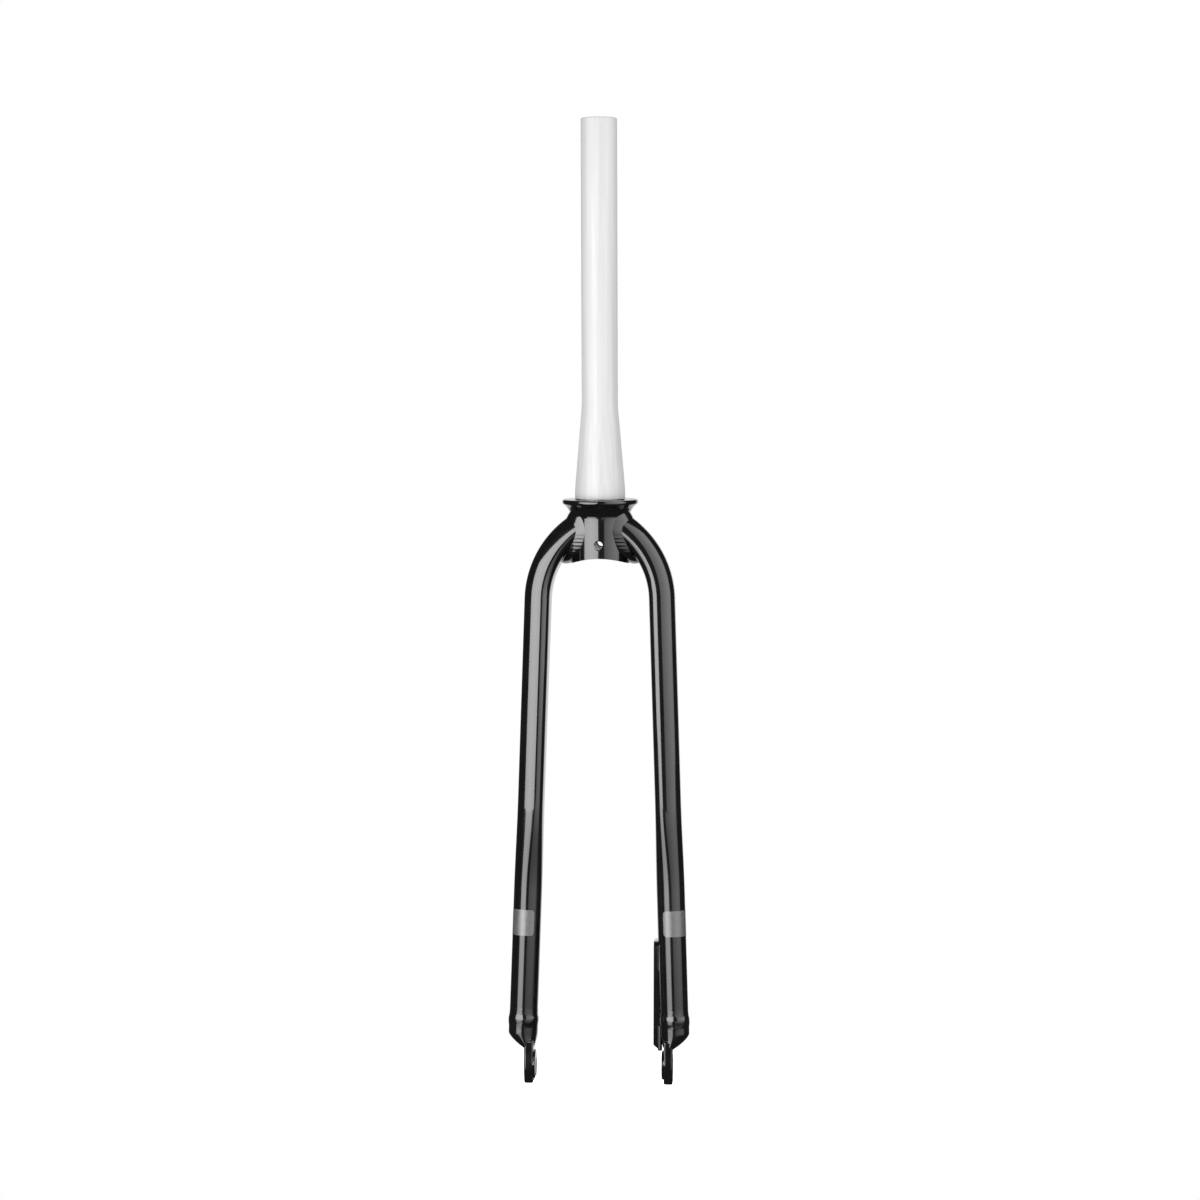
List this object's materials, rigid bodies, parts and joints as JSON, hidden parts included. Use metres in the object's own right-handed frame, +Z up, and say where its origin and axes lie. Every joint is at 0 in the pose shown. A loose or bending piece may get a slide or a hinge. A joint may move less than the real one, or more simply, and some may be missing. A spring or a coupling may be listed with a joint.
{
  "type": "rigid mountain bike fork",
  "caption": "Welded aluminium rigid bicycle fork: bare tapered steerer, gloss-black crown, bent legs, hooded slotted dropouts and a disc-brake tab.",
  "frame": {"origin": "centre of the crown seat, on top of the crown's flange, on the steerer's axis", "axes": "+Z up the steerer, -Y the front of the bicycle, +X the rider's left"},
  "size_m": [0.1442, 0.0853, 0.7628],
  "materials": {
    "bare_aluminium": "bare aluminium, bead-blasted to a pale satin",
    "black_paint": "gloss black paint under clear coat",
    "silver_film": "satin silver-grey film"
  },
  "bodies": {
    "root": {"steerer_tube": "bare_aluminium", "crown": "black_paint", "left_leg": "black_paint", "right_leg": "black_paint", "left_dropout": "black_paint", "right_dropout": "black_paint", "disc_brake_tab": "black_paint", "left_crown_weld": "black_paint", "right_crown_weld": "black_paint", "left_dropout_weld": "black_paint", "right_dropout_weld": "black_paint", "disc_tab_weld": "black_paint", "left_leg_band": "silver_film", "right_leg_band": "silver_film"}
  },
  "joints": []
}
